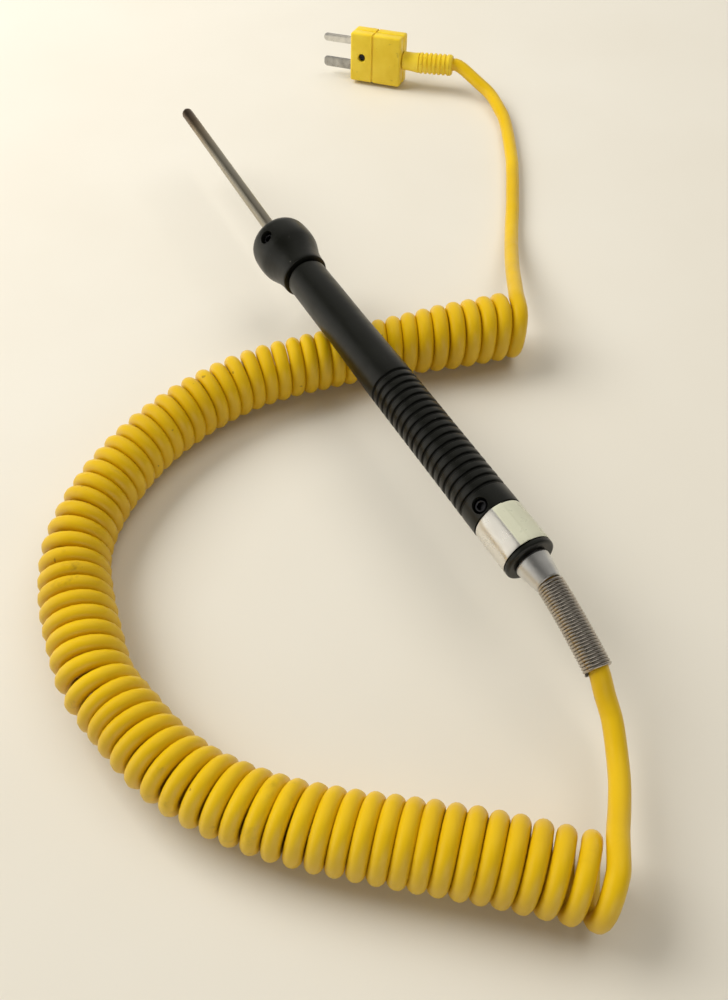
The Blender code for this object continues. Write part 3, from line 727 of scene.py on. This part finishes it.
def make_light():
    """A large lamp from the upper right, and a window beyond the table's far left corner."""
    area_light(
        "lamp",
        place=(0.55, -0.05, 1.15),
        target=(0.0, 0.0, 0.0),
        size=0.9,
        power=4.9,
        colour=(1.0, 0.965, 0.90),
    )
    area_light(
        "window",
        place=(-0.35, 0.52, 0.56),
        target=(-0.12, 0.16, 0.0),
        size=0.6,
        power=7.4,
        colour=(1.0, 0.985, 0.95),
    )
    make_room()
    bpy.context.scene.view_settings.view_transform = "Standard"
    bpy.context.scene.view_settings.look = "None"


# ---------------------------------------------------------------- cord


def spring_axis(part):
    """Point on the bend spring's middle line, which droops from the cone."""
    return Vector((0, SPRING_START_Y - part * SPRING_LENGTH, 0)) + SPRING_DROP * part**SPRING_BEND_POWER


def ramp(value, start, end):
    """Smooth step from 0 at the start to 1 at the end."""
    part = min(1.0, max(0.0, (value - start) / (end - start)))
    return part * part * (3 - 2 * part)


def coil_radius(part):
    """Radius of the coil's envelope; part runs from 0 at the lead to 1 at the tail."""
    lead_flare = COIL_LEAD_FLARE * ramp(part, 0.24, 0.08)
    tail_flare = COIL_TAIL_FLARE * ramp(part, 0.85, 0.95)
    swell = COIL_BEND_SWELL * math.exp(-(((part - 0.45) / 0.05) ** 2))
    return COIL_R + lead_flare + tail_flare + swell


def coiled_radius(part):
    """The cord's own radius in the coil, which stretching on the former thinned except near the tail."""
    return COILED_R + (CORD_R - COILED_R) * ramp(part, *COIL_TAIL_SPAN)


def coil_pitch_weight(part, bend):
    """Relative room that a turn takes: more on a tight bend, near the tail and at the coil's open ends."""
    first = math.exp(-part * COIL_TURNS / 1.6)
    last = math.exp(-(1 - part) * COIL_TURNS / 2.2)
    slack = COIL_TAIL_SLACK * ramp(part, *COIL_TAIL_SPAN)
    return 1.0 + bend * COIL_TURN_R + 0.55 * first + 0.12 * last + slack


def coil_axis():
    """Samples of the coil's middle line, of its direction, and of the turns made up to each."""
    route = [Vector((x, y, 0)) for x, y in COIL_ROUTE]
    axis, length = resample(curve_points(route, 30), COIL_SAMPLES)
    for index, point in enumerate(axis):
        point.z = TABLE_Z + coil_radius(index / COIL_SAMPLES)
    ahead = []
    for index in range(len(axis)):
        low = max(index - 6, 0)
        high = min(index + 6, COIL_SAMPLES)
        ahead.append((axis[high] - axis[low]).normalized())
    weights = []
    for index in range(len(axis)):
        low = max(index - 8, 0)
        high = min(index + 8, COIL_SAMPLES)
        bend = (ahead[high] - ahead[low]).length / (high - low) / (length / COIL_SAMPLES)
        weights.append(coil_pitch_weight(index / COIL_SAMPLES, bend))
    turned = [0.0]
    for a, b in zip(weights, weights[1:]):
        turned.append(turned[-1] + 2 / (a + b))
    return axis, ahead, [COIL_TURNS * t / turned[-1] for t in turned]


def coil_points():
    """The coiled stretch: a left-handed helix round the coil's route, lying on the table."""
    axis, ahead, turned = coil_axis()
    points = []
    index = 0
    for step in range(COIL_TURNS * POINTS_PER_TURN + 1):
        turn = step / POINTS_PER_TURN
        while index < COIL_SAMPLES - 1 and turned[index + 1] < turn:
            index += 1
        part = min(1.0, (turn - turned[index]) / (turned[index + 1] - turned[index]))
        centre = axis[index].lerp(axis[index + 1], part)
        forward = ahead[index].lerp(ahead[index + 1], part).normalized()
        side = Vector((0, 0, 1)).cross(forward)
        angle = math.tau * turn
        done = (index + part) / COIL_SAMPLES
        cord_r = coiled_radius(done)
        loose = COIL_LOOSE_ACROSS * noise.noise(Vector((turn * 0.9, 3.7, 0)))
        radius = coil_radius(done) - COIL_R + COIL_TURN_R + COILED_R - cord_r + loose
        last_turns = ramp(turn, COIL_TURNS - 5, COIL_TURNS - 0.4)
        lean = COIL_TAIL_LEAN * last_turns * max(0.0, -math.sin(angle)) ** 2
        along = COIL_LOOSE_ALONG * noise.noise(Vector((turn * 0.7, 9.1, 0))) - lean
        turned_out = Vector((0, 0, math.cos(angle))) + side * math.sin(angle)
        point = centre + forward * along + radius * turned_out
        point.z = max(point.z, TABLE_Z + cord_r)
        points.append(point)
    return points


def plug_relief_axis():
    """Middle line of the strain relief, which leaves the plug straight and then swings a little sideways."""
    rear = PLUG_FRAME @ Vector((0, -PLUG_LENGTH / 2, 0))
    out = PLUG_FRAME.to_3x3() @ Vector((0, -1, 0))
    swung = Matrix.Rotation(RELIEF_SWING, 3, "Z") @ out
    route = [rear + out * distance for distance in (0.2, 2.5, 5.5)]
    for _ in range(3):
        route.append(route[-1] + swung * 3.9)
    return route


def make_cord(material):
    """One curve from the bend spring through the coil into the strain relief, and its length in metres."""
    relief = plug_relief_axis()
    spring = [spring_axis(step / 5) for step in range(6)]
    coil = coil_points()
    per_span = 4
    # Both routes run a few points into the coil, to start in its direction. These points are dropped again.
    lead_route = spring + [Vector(p) for p in LEAD_ROUTE] + [coil[0], coil[2]]
    lead = curve_points(lead_route, per_span)[: -(per_span + 1)]
    end_out = (relief[-1] - relief[-2]).normalized()
    tail_route = [coil[-3], coil[-1]] + [Vector(p) for p in TAIL_ROUTE]
    tail_route += [relief[-1] + end_out * distance for distance in (2.2, -1.5)]
    tail = curve_points(tail_route, per_span)[per_span + 1 :]
    points = lead + coil + tail
    curve = bpy.data.curves.new("cord", "CURVE")
    curve.dimensions = "3D"
    curve.bevel_depth = MM
    curve.bevel_resolution = 6
    curve.use_fill_caps = True
    curve.twist_mode = "MINIMUM"
    spline = curve.splines.new("POLY")
    spline.points.add(len(points) - 1)
    # The cord thins over this many points at each end of the coil.
    blend = 10
    for index, (point, place) in enumerate(zip(spline.points, points)):
        point.co = (*(place * MM), 1.0)
        inside = min(index - len(lead), len(lead) + len(coil) - index) / blend
        part = min(1.0, max(0.0, (index - len(lead)) / len(coil)))
        point.radius = CORD_R + (coiled_radius(part) - CORD_R) * min(1.0, max(0.0, inside))
    length = sum((b - a).length for a, b in zip(points, points[1:])) * MM
    obj = bpy.data.objects.new("curly_cord", curve)
    bpy.context.scene.collection.objects.link(obj)
    curve.materials.append(material)
    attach(obj, "probe")
    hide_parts("cord_lead", "cord_coil", "cord_tail")
    return obj, length


# ---------------------------------------------------------------- probe


def make_sheath():
    """Steel tube with a round closed tip; its rear end lies inside the collar."""
    nose = []
    for step in range(10):
        angle = math.pi / 2 * step / 10
        along = TIP_LENGTH - NOSE_R + NOSE_R * math.sin(angle)
        nose.append((along, SHEATH_R - NOSE_R + NOSE_R * math.cos(angle)))
    outline = [(SHEATH_REAR, SHEATH_BORE), (SHEATH_REAR, SHEATH_R - 0.05), (SHEATH_REAR + 0.1, SHEATH_R)]
    outline += [*nose, (TIP_LENGTH, 0.0), (TIP_LENGTH - TIP_WALL, 0.0)]
    outline += [(TIP_LENGTH - TIP_WALL - 0.5, SHEATH_BORE)]
    mesh = lathe("sheath_tube", outline, 64, True, SHEATH_FRAME)
    add("sheath_tube", mesh, sheath_look(), replaces=["sheath"])


def screw_frame(y):
    """Frame on a set screw's axis: +Y points out of the probe."""
    out = Vector((-math.sin(SCREW_ANGLE), 0, math.cos(SCREW_ANGLE)))
    turn = out.to_track_quat("Y", "Z").to_matrix().to_4x4()
    return Matrix.Translation((0, y, 0)) @ turn


def screw_hole(place, bottom, radius, rim_start, rim_end, rim_radius):
    """Cutter for a set screw's hole, which widens between two distances from the probe's axis."""
    top = rim_end + 2.5
    outline = [(bottom, 0), (bottom, radius), (rim_start, radius)]
    outline += [(rim_end, rim_radius), (top, rim_radius), (top, 0)]
    return lathe("hole", outline, 48, False, place)


def make_collar(material):
    """Finger stop: a bulb that narrows towards the handle, with a spigot that runs on inside it."""
    curve = curve_points([Vector((*point, 0)) for point in COLLAR_OUTLINE], 6)
    outline = [(COLLAR_FRONT_Y, COLLAR_LIP_BORE)] + [(point.x, point.y) for point in curve]
    outline += [(COLLAR_REAR_Y, COLLAR_NECK_R), (COLLAR_NECK_Y, COLLAR_NECK_R), (COLLAR_NECK_Y, SPIGOT_R)]
    outline += [(SPIGOT_REAR_Y, SPIGOT_R), (SPIGOT_REAR_Y, COLLAR_BORE)]
    outline += [(COLLAR_LIP_Y, COLLAR_BORE), (COLLAR_LIP_Y, COLLAR_LIP_BORE)]
    place = screw_frame(COLLAR_SCREW_Y)
    hole = screw_hole(place, 1.5, 1.62, 7.3, 7.75, 1.74)
    mesh = carve(lathe("finger_stop", outline, 128), [hole])
    add("finger_stop", mesh, material, replaces=["front_collar"])
    make_set_screw("collar_set_screw_fine", "collar_set_screw", place, 2.7, 6.9)


def make_set_screw(name, node, place, inner, outer):
    """M3 set screw between two distances from the probe's axis, with a hexagon socket in its outer end."""
    radius = SET_SCREW_R
    outline = [(inner, 0), (inner, radius - 0.3), (inner + SET_SCREW_CHAMFER, radius)]
    outline += [(outer - SET_SCREW_CHAMFER, radius), (outer, radius - 0.28), (outer, 0)]
    body = lathe(name, soften(outline, 0.06, 2, False), 48, False, place)
    corner = HEXAGON_APOTHEM / math.cos(math.pi / 6)
    hexagon = [(corner * math.cos(math.pi / 3 * s), corner * math.sin(math.pi / 3 * s)) for s in range(6)]
    socket = prism("socket", hexagon, outer - HEXAGON_DEPTH, outer + 1.0, place)
    funnel = [(outer - 0.14, 0), (outer - 0.14, HEXAGON_APOTHEM), (outer + 0.1, 1.0), (outer + 0.1, 0)]
    lead_in = lathe("lead_in", funnel, 32, False, place)
    mesh = carve(body, [socket, lead_in], 25)
    add(name, mesh, DARK_STEEL, body=node + "_body", replaces=[node])


def make_handle(material):
    """Black handle: a plain taper in front, grooves behind, and a seat for the label at the rear."""
    outline = [(HANDLE_FRONT_Y, HANDLE_BORE), (HANDLE_FRONT_Y, 4.6), (7.2, 4.92), (6.8, 5.1)]
    outline += [(HANDLE_TAPER[0], HANDLE_FRONT_R), (HANDLE_TAPER[1], HANDLE_R)]
    floor_r = HANDLE_R - GROOVE_DEPTH
    for groove in range(GROOVES):
        middle = GROOVE_FIRST_Y - groove * GROOVE_PITCH
        outline += [(middle + GROOVE_HALF_TOP, HANDLE_R), (middle + GROOVE_HALF_FLOOR, floor_r)]
        outline += [(middle - GROOVE_HALF_FLOOR, floor_r), (middle - GROOVE_HALF_TOP, HANDLE_R)]
    outline += [(LABEL_SEAT_Y, HANDLE_R), (LABEL_SEAT_Y, LABEL_SEAT_R)]
    outline += [(HANDLE_REAR_Y, LABEL_SEAT_R), (HANDLE_REAR_Y, HANDLE_BORE)]
    place = screw_frame(HANDLE_SCREW_Y)
    hole = screw_hole(place, 2.5, 1.64, 5.1, 5.42, 1.82)
    mesh = carve(lathe("grip", soften(outline, 0.13, 3), 112), [hole])
    add("grip", mesh, material, replaces=["handle_tube"])
    make_set_screw("handle_set_screw_fine", "handle_set_screw", place, 3.35, 4.9)


def label_radius(turn, outside, at_edge):
    """Radius of the foil's inner or outer face after this turn; the overlapping end rises over the start."""
    lift_start = math.tau - LABEL_LIFT_TURN
    lift = LABEL_LIFT * max(0.0, min(1.0, (turn - lift_start) / LABEL_LIFT_TURN))
    pinch = LABEL_EDGE_PINCH if at_edge else 0.0
    return LABEL_R + lift + (LABEL_FOIL - pinch if outside else pinch)


def make_label():
    """A strip of foil wrapped once round the handle's rear end, its ends overlapping along the seam."""
    low, high = LABEL_SPAN
    rows = [low, low + 0.12, low + 1.2, -83.0, high - 1.2, high - 0.12, high]
    last = len(rows) - 1
    bm = bmesh.new()
    grid = {}
    for layer in range(2):
        for i in range(LABEL_STEPS + 1):
            turn = (math.tau + LABEL_OVERLAP) * i / LABEL_STEPS
            angle = LABEL_SEAM + turn
            for k, y in enumerate(rows):
                r = label_radius(turn, layer == 1, k in (0, last))
                grid[layer, i, k] = bm.verts.new((r * math.sin(angle), y, r * math.cos(angle)))

    def face(*corners):
        bm.faces.new([grid[corner] for corner in corners])

    for layer in range(2):
        for i in range(LABEL_STEPS):
            for k in range(last):
                face((layer, i, k), (layer, i + 1, k), (layer, i + 1, k + 1), (layer, i, k + 1))
    for i in range(LABEL_STEPS):
        for k in (0, last):
            face((0, i, k), (0, i + 1, k), (1, i + 1, k), (1, i, k))
    for k in range(last):
        for i in (0, LABEL_STEPS):
            face((0, i, k), (0, i, k + 1), (1, i, k + 1), (1, i, k))
    mesh = finish_mesh("foil_label", bm)
    add("foil_label", mesh, foil_look(), replaces=["label_band"])


def make_rear_end(black):
    """Black ring that closes the handle, and the aluminium cone in it that the cord leaves through."""
    flange = [(-89.1, 2.75), (-89.1, 4.95), (-88.85, 5.3), (-88.2, 5.35), (-87.9, 5.2), (-87.9, 3.3)]
    flange += [(-70.5, 3.3), (-70.5, 2.75)]
    ring = lathe("end_ring", soften(flange, 0.2), 96)
    add("end_ring", ring, black, replaces=["end_bush"])
    outline = [(-95.0, 2.2), (-95.0, 2.62), (-94.75, 2.76), (-89.75, 3.62), (-89.4, 3.5), (-89.4, 2.45)]
    outline += [(-66.5, 2.45), (-66.5, 2.2)]
    cone = lathe("cord_cone_fine", soften(outline, 0.12), 96)
    metal = turned_metal("satin_aluminium", (0.78, 0.775, 0.76), 0.42)
    add("cord_cone_fine", cone, metal, replaces=["cord_cone"])


def make_spring():
    """Close-wound bend spring: one round wire round the cord's drooping middle line."""
    steps = SPRING_TURNS * SPRING_POINTS_PER_TURN
    centres = []
    for step in range(steps + 1):
        part = step / steps
        ahead = (spring_axis(min(1, part + 0.01)) - spring_axis(max(0, part - 0.01))).normalized()
        across = ahead.cross(Vector((0, 0, 1))).normalized()
        up = across.cross(ahead)
        angle = math.tau * step / SPRING_POINTS_PER_TURN
        centres.append(spring_axis(part) + SPRING_R * (across * math.cos(angle) + up * math.sin(angle)))
    mesh = swept("spring_coils", centres, [SPRING_WIRE_R] * len(centres), 12)
    metal = plain_metal("spring_steel", (0.50, 0.455, 0.40), 0.28, 0.25, 0.15)
    add("spring_coils", mesh, metal, replaces=["bend_spring"])


# ---------------------------------------------------------------- plug


def across_plug(y, z):
    """Frame in the plug at this place along and across it: +Y points from the cover to the base."""
    return PLUG_FRAME @ Matrix.Translation((0, y, z)) @ Matrix.Rotation(-math.pi / 2, 4, "Z")


def plug_half(name, node, side, material):
    """Half of the plug's case: the cover where side is -1, the base where it is 1."""
    half_length = PLUG_LENGTH / 2
    half_width = PLUG_WIDTH / 2
    outside = side * PLUG_THICKNESS / 2
    xs = sorted((side * SPLIT_HALF_GAP, outside))
    body = block(
        name, (xs[0], -half_length, -half_width), (xs[1], half_length, half_width), PLUG_EDGE, PLUG_FRAME
    )
    cutters = [block("cavity", (-2.6, -7.0, -6.3), (2.6, 2.4, 6.3), 0, PLUG_FRAME)]
    for sign, width in ((1, POSITIVE_WIDTH), (-1, NEGATIVE_WIDTH)):
        middle = sign * BLADE_SPACING / 2
        reach = width / 2 + 0.3
        cutters.append(block("slot", (-0.7, 1.4, middle - reach), (0.7, 10, middle + reach), 0, PLUG_FRAME))
    cutters.append(cylinder("neck", -10, -6, 1.8, 48, PLUG_FRAME))
    front, rear = STEP_SPAN
    step_low = (outside - STEP_DEPTH, front, -9)
    step_high = (outside + STEP_DEPTH, rear, 9)
    cutters.append(block("step", step_low, step_high, STEP_EDGE, PLUG_FRAME))
    for edge in (-half_width, half_width):
        notch_low = (-4.5, front, edge - STEP_NOTCH)
        notch_high = (4.5, rear, edge + STEP_NOTCH)
        cutters.append(block("edge_notch", notch_low, notch_high, STEP_EDGE, PLUG_FRAME))
    across = across_plug(COVER_SCREW_Y, 0)
    if side < 0:
        room = [(-6, 0), (-6, 1.5), (-3.9, 1.5), (-3.6, 1.25), (-1.4, 1.25), (-1.4, 0)]
        cutters.append(lathe("head_room", room, 40, False, across))
        cutters.append(cylinder("screw_room", -3, 1, 1.0, 32, across))
    else:
        cutters.append(cylinder("screw_room", -1, 2.9, 1.0, 32, across))
    add(name, carve(body, cutters), material, replaces=[node])


def make_screw(name, node, place, head, head_r, shank_end, shank_r, metal, crossed):
    """Screw across the plug: head holds where its head starts and ends, and a crossed one has two slots."""
    outer, under = head
    outline = [(outer, 0), (outer, head_r - 0.2), (outer + 0.2, head_r), (under, head_r)]
    outline += [(under, shank_r), (shank_end, shank_r), (shank_end, 0)]
    body = lathe(name, soften(outline, 0.07, 2, False), 40, False, place)
    cutters = [block("slot", (-0.17, outer - 1, -2), (0.17, outer + 0.45, 2), 0, place)]
    if crossed:
        cutters.append(block("cross", (-2, outer - 1, -0.17), (2, outer + 0.45, 0.17), 0, place))
    add(name, carve(body, cutters, 25), metal, body=node + "_body", replaces=[node])


def make_blade(name, node, sign, width, metal):
    """Flat blade with a rounded end, and a hole in its inner end for the terminal screw."""
    middle = sign * BLADE_SPACING / 2
    half = width / 2
    neck = half - 0.15
    face_y = PLUG_LENGTH / 2 + 0.1
    tip = PLUG_LENGTH / 2 + BLADE_REACH
    side = [(neck, -3.0), (neck, face_y), (half, face_y), (half, tip - 0.9), (half - 0.25, tip - 0.35)]
    side.append((half - 0.8, tip))
    outline = side + [(-z, y) for z, y in side[::-1]]
    bm = bmesh.new()
    layers = []
    for x in (-BLADE_HALF_THICK, BLADE_HALF_THICK):
        layers.append([bm.verts.new((x, y, z + middle)) for z, y in outline])
    bm.faces.new(layers[0])
    bm.faces.new(layers[1])
    for step in range(len(outline)):
        nxt = (step + 1) % len(outline)
        bm.faces.new((layers[0][step], layers[0][nxt], layers[1][nxt], layers[1][step]))
    bmesh.ops.recalc_face_normals(bm, faces=bm.faces)
    edges = [e for e in bm.edges if all(v.co.y > face_y + 0.1 for v in e.verts)]
    bmesh.ops.bevel(bm, geom=edges, offset=0.12, segments=2, affect="EDGES", profile=0.5)
    body = finish_mesh(name, bm, PLUG_FRAME, 30)
    hole = cylinder("hole", -2, 2, 0.62, 24, across_plug(TERMINAL_SCREW_Y, middle))
    add(name, carve(body, [hole]), metal, replaces=[node])


def relief_radius(s, length):
    """Radius of the strain relief at s along it: it widens past the neck, has ribs, and has rounded ends."""
    radius = RELIEF_NECK_R + RELIEF_GROWTH * ramp(s, *RELIEF_GROWTH_SPAN)
    if RELIEF_RIB_SPAN[0] < s < RELIEF_RIB_SPAN[1]:
        phase = (s - RELIEF_RIB_SPAN[0]) / RELIEF_RIB_PITCH % 1.0
        radius -= RELIEF_RIB_DEPTH * max(0.0, min(1.0, (abs(phase - 0.5) - 0.24) / 0.1))
    if s > length - 0.8:
        radius -= 0.5 * ((s - length + 0.8) / 0.8) ** 2
    if s < 0.35:
        radius -= 0.3 * (1 - s / 0.35) ** 2
    return radius


def make_relief(material):
    """Ribbed strain relief, with a flange on its neck that the two halves of the plug hold."""
    steps = 220
    axis, length = resample(curve_points(plug_relief_axis(), 16), steps)
    radii = [relief_radius(index / steps * length, length) for index in range(steps + 1)]
    neck = [PLUG_FRAME @ Vector((0, y, 0)) for y in (-5.8, -6.0, -6.7, -6.71, -8.9, -9.05)]
    neck_radii = [2.1, 2.3, 2.3, 1.5, 1.5, 1.6]
    sleeve = swept("relief_sleeve", neck + axis, neck_radii + radii, 40)
    add("relief_sleeve", sleeve, material, replaces=["plug_strain_relief"])


def paint(node, material):
    """Gives a CAD node that keeps its shape a better material."""
    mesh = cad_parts[node].data
    mesh.materials.clear()
    mesh.materials.append(material)


# Dark steel is the set screws' own colour; on the plug's cover screw it is painted shade of the recess that
# the screw sits in.
DARK_STEEL = plain_metal("dark_steel", (0.055, 0.055, 0.06), 0.38)
SCREW_STEEL = plain_metal("screw_steel", (0.68, 0.66, 0.60), 0.3)


def main():
    make_camera()
    make_floor()
    make_light()
    cord, length = make_cord(cord_look())
    make_sheath()
    black = black_look()
    make_collar(black)
    make_handle(black)
    make_label()
    make_rear_end(black)
    make_spring()
    yellow = moulded_yellow()
    plug_half("plug_cover_fine", "plug_cover", -1, yellow)
    plug_half("plug_base_fine", "plug_base", 1, yellow)
    # The cover screw is dark steel: painted shade of its recess.
    place = across_plug(COVER_SCREW_Y, 0)
    name = "plug_cover_screw"
    make_screw(name + "_fine", name, place, (-3.1, -1.9), 1.05, 2.4, 0.7, DARK_STEEL, True)
    for name, node, sign in (
        ("terminal_screw_a", "terminal_screw_positive", 1),
        ("terminal_screw_b", "terminal_screw_negative", -1),
    ):
        place = across_plug(TERMINAL_SCREW_Y, sign * BLADE_SPACING / 2)
        make_screw(name, node, place, (-1.7, -0.55), 1.2, 1.6, 0.4, SCREW_STEEL, False)
    bright = plain_metal("chromel", (0.74, 0.72, 0.68), 0.22)
    dull = plain_metal("alumel", (0.50, 0.49, 0.47), 0.3, 0.3, 0.4)
    make_blade("blade_positive", "plug_blade_positive", 1, POSITIVE_WIDTH, bright)
    make_blade("blade_negative", "plug_blade_negative", -1, NEGATIVE_WIDTH, dull)
    make_relief(yellow)
    brass = turned_metal("brass", (0.72, 0.55, 0.27), 0.28)
    red = insulation("red_insulation", (0.45, 0.02, 0.015), (0.62, 0.05, 0.03))
    light = insulation("yellow_insulation", (0.66, 0.45, 0.01), (0.80, 0.58, 0.03))
    for nodes, material in (
        (("sheath_bush", "cone_nut", "splice_positive", "splice_negative"), brass),
        (("cord_crimp_ring",), turned_metal("crimp_aluminium", (0.72, 0.72, 0.70), 0.35)),
        (("insulator_rod",), ceramic_look()),
        (("thermocouple_wire_positive", "hot_junction_bead"), bright),
        (("thermocouple_wire_negative",), dull),
        (("cord_inner_end", "cord_core_positive", "plug_core_positive"), light),
        (("cord_core_negative", "plug_core_negative"), red),
    ):
        for node in nodes:
            paint(node, material)
    on_cord = ["relief_sleeve", "plug_cover_fine", "plug_base_fine", "plug_cover_screw_fine"]
    on_cord += ["terminal_screw_a", "terminal_screw_b", "blade_positive", "blade_negative"]
    on_cord += ["plug_core_positive", "plug_core_negative", "spring_coils", "cord_inner_end"]


main()
